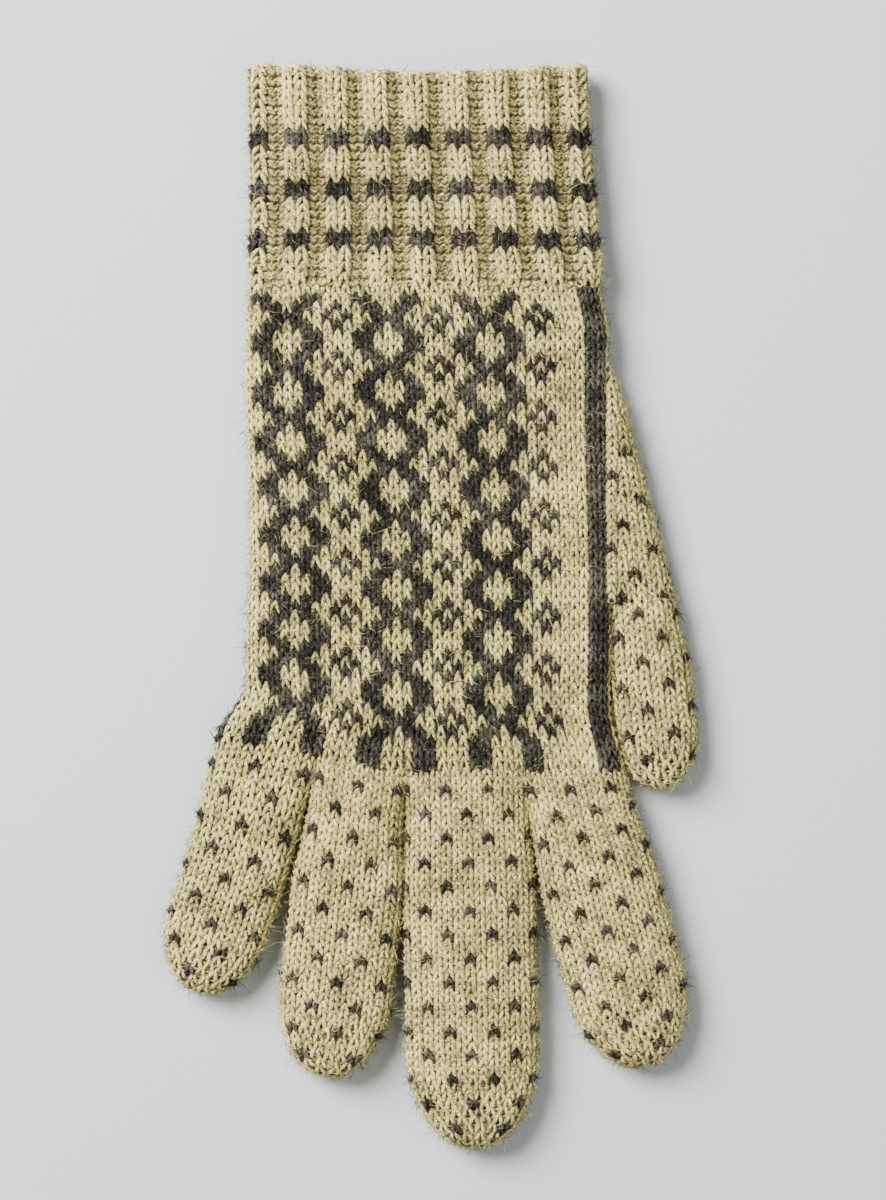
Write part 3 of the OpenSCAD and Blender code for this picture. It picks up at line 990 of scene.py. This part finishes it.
def hand_drift(row, column):
    """Columns creep sideways down the hand, least of all beside the thumb."""
    held = 1 - 0.95 * np.exp(-((column - THUMB_STRIPE[1]) / 7) ** 2)
    creep = 1.05 * np.clip(row / hand_rows, 0, 1) + 0.9 * smooth((row - 40) / 8)
    return 0.05 + creep * held


hand_fabric = {
    "stitches": lambda row: hand_stitches,
    "face": knit_face,
    "drift": hand_drift,
    "colour": hand_colour,
    "yarn": hand_yarn,
}
for line in CHART:
    print(line * CHART_REPEATS)

# %% Hand pieces
hand_parts = {
    "hand_back": ([(0, THUMB_STRIPE[0]), (THUMB_STRIPE[1], BACK_END)], "cream_wool"),
    "thumb_side_stripe": ([THUMB_STRIPE], "dark_wool"),
    "hand_palm": ([(BACK_END, LITTLE_STRIPE[0]), (LITTLE_STRIPE[1], hand_stitches)], "cream_wool"),
    "little_side_stripe": ([LITTLE_STRIPE], "dark_wool"),
}
hand_runs = {}
for node, (columns, slot) in hand_parts.items():
    hand_runs[node] = knit_piece(node, hand_shell, hand_fabric, (0, hand_rows), wrist_zone,
                                 columns=columns)

# %% [markdown]
# ## Fingers
# Each finger is a tube on a straight axis that leans away from the middle one. Its first
# rows still lie level with the hand, and then they turn square to the finger. The tube
# swells from its root to its full width and ends in a blunt, rounded point, where pairs of
# stitches are knitted together until the last few are gathered. One function makes all
# four and the thumb, because only their numbers differ.

# %% Finger surfaces
finger_row = 1.93 * MM
tip_share = 0.76              # length of the narrowing tip, in widths of the finger
belly = 20 * MM               # distance over which a finger swells
root_turn = 22 * MM           # distance over which its rows turn square to it
slack = 0.6 * MM              # how much fuller the knitting is than the CAD solid


def finger_shell(axis, numbers, start, height, spread, seed):
    """The surface of a finger or thumb from start to its tip."""
    root, way = axis
    root_w, full_w, _, length = numbers
    half = height / 2 - skin
    end = length - skin
    cap = length - tip_share * full_w
    round_end = half * 1.15
    total = end - round_end + round_end * 1.45 - start
    rows = int(round(total / finger_row))
    lam = np.linspace(0, total, rows * stations + 1) + start
    over = np.clip((lam - (end - round_end)) / round_end, 0, 1.45)
    s = np.where(over > 0, end - round_end + round_end * np.sin(over), lam)
    tall = np.where(over > 0, np.cos(over) ** 0.8, 1.0)
    wide = root_w + (full_w - root_w) * smooth(s / belly)
    give = slack + (spread - slack) * (1 - smooth((s - start) / (30 * MM)))
    wide = wide / 2 - skin + give
    q = np.clip((s - cap) / (end + 0.3 * MM - cap), 0, 1)
    wide = wide * np.sqrt(np.maximum(1 - q ** 1.95, 0.0015))
    level = 1 - smooth((s - start) / root_turn)
    lean = math.atan2(way[0], -way[1])
    side = np.array([math.cos(lean), math.sin(lean)])
    across = side[None] + (level * math.tan(lean))[:, None] * way[None]
    centre = root[None] + s[:, None] * way[None]
    mid = np.where(over > 0, skin + half - 0.15 * half * (1 - tall), skin + half)
    low = np.minimum(half * tall, mid - skin)
    grid = tube_grid(centre, across, wide, low, half * tall, mid, 96, (2.5, 3.2))
    bow = waver(grid, 20 + seed, 0.22 * MM) * (grid[..., 2] > height / 2)
    grid[..., 2] += bow * smooth((s - s[0]) / (8 * MM))[:, None]
    grid[..., 1] += set_back(grid[..., 0]) * (1 - smooth((s - s[0]) / (26 * MM)))[:, None]
    return {"shell": surface(grid), "rows": rows, "s": s, "wide": wide}


def finger_fabric(made, around, spot_row, offset):
    """Stitch counts that fall towards the tip, and spots all over."""
    full = float(np.max(made["wide"]))

    def stitches(row):
        i = min(int((row + 0.5) * stations), len(made["wide"]) - 1)
        past = made["s"][i] > made["s"][0] + belly
        share = made["wide"][i] / full if past else 1.0
        return max(6, 2 * int(round(around * share / 2 + 0.2))) if share < 0.93 else around

    def colour(row, column):
        if row > made["rows"] - 3:
            return CREAM
        return spot(row, column - stitches(row) // 4, spot_row, offset)

    return {"stitches": stitches, "face": knit_face, "colour": colour, "yarn": finger_yarn}


def row_at(made, s):
    """The row boundary that lies nearest to a distance along the finger."""
    return int(round(float(np.interp(s, made["s"], np.arange(len(made["s"])))) / stations))


print("finger helpers ready")

# %% [markdown]
# Each finger is handed out in three pieces that meet half way between its folds. The
# first lies over the root fold, the second over the knuckle, the third over the end joint.

# %% Knit the fingers
knuckle_reach, end_reach = 6.5 * MM, 6.0 * MM
spot_offset = {"little": 1, "ring": 0, "middle": 2, "index": 1}
finger_runs = {}
for seed, finger in enumerate(FINGERS):
    root, way = AXIS[finger]
    folds = [fold_at[f"{finger}_{n}_fold"][:2] for n in ("root", "knuckle", "end")]
    knuckle = math.dist(folds[0], folds[1])
    last = knuckle + math.dist(folds[1], folds[2])
    start = (row_y - root[1]) / way[1]
    made = finger_shell(AXIS[finger], FINGERS[finger], start, finger_height, root_spread, seed)
    fabric = finger_fabric(made, FINGERS[finger][2], 2, spot_offset[finger])
    cuts = [0, row_at(made, knuckle / 2), row_at(made, (knuckle + last) / 2), made["rows"]]
    room = knuckle / 2 * abs(way[1]) - FINGERS[finger][1] / 2 * abs(way[0]) - 0.5 * MM
    bodies = ["hand", f"{finger}_lower", f"{finger}_middle", f"{finger}_tip"]
    ends = [((root[0], row_y, 0), (root[0], root[1] - min(8 * MM, room), 0))]
    for s, reach in ((knuckle, knuckle_reach), (last, end_reach)):
        ends.append([(*(root + way * place), 0) for place in (s - reach, s + reach)])
    for i, part in enumerate(("root", "knuckle", "end")):
        zone = (bodies[i], bodies[i + 1], *ends[i])
        runs = knit_piece(f"{finger}_{part}", made["shell"], fabric, (cuts[i], cuts[i + 1]),
                          zone, node=bodies[i + 1] + "_section")
        finger_runs[f"{finger}_{part}"] = (runs, zone)
    print(finger, "rows", made["rows"], "cuts", cuts)

# %% [markdown]
# ## Gusset and thumb
# The gusset is a wedge of extra stitches that grows out of the edge of the hand, one pair
# at a time. Its columns run along its outer edge, so the new stitches all start beside
# the hand. It is an open half tube, because the hand closes its other side. The thumb
# carries on from it as a small tube.

# %% Gusset
thumb_numbers = (14.6 * MM, 19 * MM, 16, 45.6 * MM)
thumb_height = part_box("thumb_gusset")[1].z
thumb_lower = 22 * MM
thumb_lean = math.radians(6.3)
thumb_way = np.array([math.sin(thumb_lean), -math.cos(thumb_lean)])
thumb_spread = 1.1 * MM
thumb_root = np.array(fold_at["thumb_fold"][:2]) - thumb_way * thumb_lower - (0.5 * MM, 0)
gusset_rows = int(round((gusset_top_y - thumb_y) / finger_row))
gusset_stitch = 2.55 * MM
gusset_low = 3.6 * MM         # height of its lower half
gusset_tuck = 1.2 * MM        # how far it reaches in under the edge of the hand
gusset_start = 0.6 * MM       # how wide it is in its first row


def gusset_surface():
    v = np.linspace(0, 1, gusset_rows * stations + 1)
    inner_x = hand_right - gusset_tuck
    half = thumb_numbers[0] / 2 - skin + thumb_spread
    root_edge = thumb_root[0] + half / math.cos(thumb_lean)
    outer_x = inner_x + gusset_start + (root_edge - inner_x - gusset_start) * v ** 0.92
    swell = 0.55 + 0.45 * smooth(v / 0.35)
    low, high = gusset_low * swell, (thumb_height - 2 * skin - gusset_low) * swell
    angle = np.linspace(math.pi / 2, -math.pi / 2, 97)
    cos = np.abs(np.cos(angle)) ** 0.8
    sin = np.sign(np.sin(angle)) * np.abs(np.sin(angle)) ** 0.8
    grid = np.empty((len(v), len(angle), 3))
    grid[..., 1] = (gusset_top_y + (thumb_y - gusset_top_y) * v)[:, None]
    for i in range(len(v)):
        x = inner_x + (outer_x[i] - inner_x) * cos
        z = skin + gusset_low + np.where(sin > 0, sin * high[i], sin * low[i])
        step = np.concatenate([[0], np.cumsum(np.hypot(np.diff(x), np.diff(z)))])
        even = np.linspace(0, step[-1], len(angle))
        grid[i, :, 0] = np.interp(even, step, x)
        grid[i, :, 2] = np.interp(even, step, z)
    girth = np.linalg.norm(np.diff(grid, axis=1), axis=2).sum(1)
    return surface(grid, closed=False), girth


gusset_shell, gusset_girth = gusset_surface()


def gusset_stitches(row):
    i = min(int((row + 0.5) * stations), len(gusset_girth) - 1)
    return 2 * int(round(gusset_girth[i] / gusset_stitch / 2))


def gusset_colour(row, column):
    return CREAM if row < 8 else spot(row, column - gusset_stitches(row) // 2, 1)


gusset_fabric = {"stitches": gusset_stitches, "face": knit_face, "colour": gusset_colour,
                 "yarn": finger_yarn}
thumb_zone = ("hand", "thumb_lower", (thumb_root[0], thumb_y + 8 * MM, 0),
              (thumb_root[0], thumb_y - 8 * MM, 0))
gusset_runs = knit_piece("thumb_gusset", gusset_shell, gusset_fabric, (0, gusset_rows),
                         thumb_zone)

# %% Thumb
thumb = finger_shell((thumb_root, thumb_way), thumb_numbers, 0.0, thumb_height, thumb_spread, 9)
thumb_fabric = finger_fabric(thumb, thumb_numbers[2], 1, 1)
thumb_cut = row_at(thumb, 12 * MM)
thumb_bend = ("thumb_lower", "thumb_tip",
              *[(*(thumb_root + thumb_way * s), 0) for s in (14 * MM, 30 * MM)])
thumb_root_runs = knit_piece("thumb_root", thumb["shell"], thumb_fabric, (0, thumb_cut),
                             thumb_zone, node="thumb_lower_section")
thumb_end_runs = knit_piece("thumb_end", thumb["shell"], thumb_fabric,
                            (thumb_cut, thumb["rows"]), thumb_bend, node="thumb_tip_section")

# %% [markdown]
# ## Bridges between the fingers
# Where two fingers part, a few stitches are cast on to close the corner. Each bridge is a
# small upright patch of knitting that faces the fingertips. It is knitted like the rest,
# on a surface of its own, because no tube passes there.

# %% Bridges
bridge_rows = 4
bridge_fabric = {"stitches": lambda row: 4, "face": knit_face, "yarn": 0.55 * MM,
                 "colour": lambda row, column: CREAM}
for node in ("bridge_little_ring", "bridge_ring_middle", "bridge_middle_index"):
    low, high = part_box(node)
    v = np.linspace(0, 1, bridge_rows * stations + 1)[:, None]
    u = np.linspace(0, 1, 25)
    grid = np.empty((len(v), len(u), 3))
    grid[..., 0] = low.x + (high.x - low.x) * (0.5 + (u[None] - 0.5) * 0.9)
    grid[..., 1] = low.y + 1.6 * MM - 0.8 * MM * np.sin(math.pi * v)
    grid[..., 2] = (high.z - 2 * MM) + (low.z - high.z + 3.6 * MM) * v
    knit_piece(node, surface(grid, closed=False), bridge_fabric, (0, bridge_rows), "hand")

# %% [markdown]
# ## The halo
# Loose fibres are added last, one set for each stretch that bends in the same way. They
# are thickest on the back of the hand, where two colours of wool have rubbed together,
# and that set is halved to keep each piece light.

# %% Grow the fibres
finger_hairs = 9.0
back_half = len(hand_runs["hand_back"]) // 2
# name, courses, hairs on each stitch, and where the set bends
fibre_sets = [
    ("cuff_fibres", cuff_runs + edge_runs, 8.0, wrist_zone),
    ("hand_back_fibres", hand_runs["hand_back"][:back_half], 13.0, wrist_zone),
    ("hand_back_fibres_lower", hand_runs["hand_back"][back_half:], 13.0, wrist_zone),
    ("thumb_side_stripe_fibres", hand_runs["thumb_side_stripe"], 7.5, wrist_zone),
    ("hand_palm_fibres", hand_runs["hand_palm"], 4.0, wrist_zone),
    ("little_side_stripe_fibres", hand_runs["little_side_stripe"], 7.5, wrist_zone),
]
for part, (runs, zone) in finger_runs.items():
    fibre_sets.append((part + "_fibres", runs, finger_hairs, zone))
fibre_sets.append(("thumb_root_fibres", gusset_runs + thumb_root_runs, finger_hairs, thumb_zone))
fibre_sets.append(("thumb_end_fibres", thumb_end_runs, finger_hairs, thumb_bend))
for name, runs, per_stitch, zone in fibre_sets:
    fibres = loose_fibres(name, runs, per_stitch)
    tie(fibres, zone)

# %% [markdown]
# ## Table, light and camera
# The glove lies on a plain pale table under soft light from above. A large window light
# from the cuff's side models the stitches, and a weak one fills their shadows. The camera
# looks straight down.

# %% Table
bpy.ops.mesh.primitive_plane_add(size=4)
table = bpy.context.object
table.name = "table"
table_material = bpy.data.materials.new("Pale table")
table_material.use_nodes = True
table_inputs = table_material.node_tree.nodes["Principled BSDF"].inputs
table_inputs["Base Color"].default_value = srgb(190, 193, 191)
table_inputs["Roughness"].default_value = 0.9
table.data.materials.append(table_material)
print("table", tuple(table.dimensions))


# %% Lights
def soft_light(name, place, size, power):
    """A round area light that points at the middle of the table."""
    data = bpy.data.lights.new(name, "AREA")
    data.shape = "DISK"
    data.size = size
    data.energy = power
    light = bpy.data.objects.new(name, data)
    bpy.context.scene.collection.objects.link(light)
    light.location = place
    light.rotation_euler = (-Vector(place)).to_track_quat("-Z", "Y").to_euler()


soft_light("window", (-0.80, 0.60, 1.0), 0.9, 80)
soft_light("fill", (0.8, -0.3, 1.1), 1.4, 8)
world = bpy.data.worlds.new("Room")
world.use_nodes = True
background = world.node_tree.nodes["Background"].inputs
background["Color"].default_value = (0.92, 0.96, 1.0, 1)
background["Strength"].default_value = 0.30
bpy.context.scene.world = world

# %% Camera
view_height = 288 * MM
camera_height = 1.0
glove_level = 8 * MM
sensor = 36
camera_data = bpy.data.cameras.new("camera")
camera_data.sensor_fit = "VERTICAL"
camera_data.sensor_height = sensor
camera_data.lens = sensor * (camera_height - glove_level) / view_height
camera = bpy.data.objects.new("camera", camera_data)
bpy.context.scene.collection.objects.link(camera)
camera.location = (2.6 * MM, 1.8 * MM, camera_height)
bpy.context.scene.camera = camera
print("lens", round(camera_data.lens, 1))
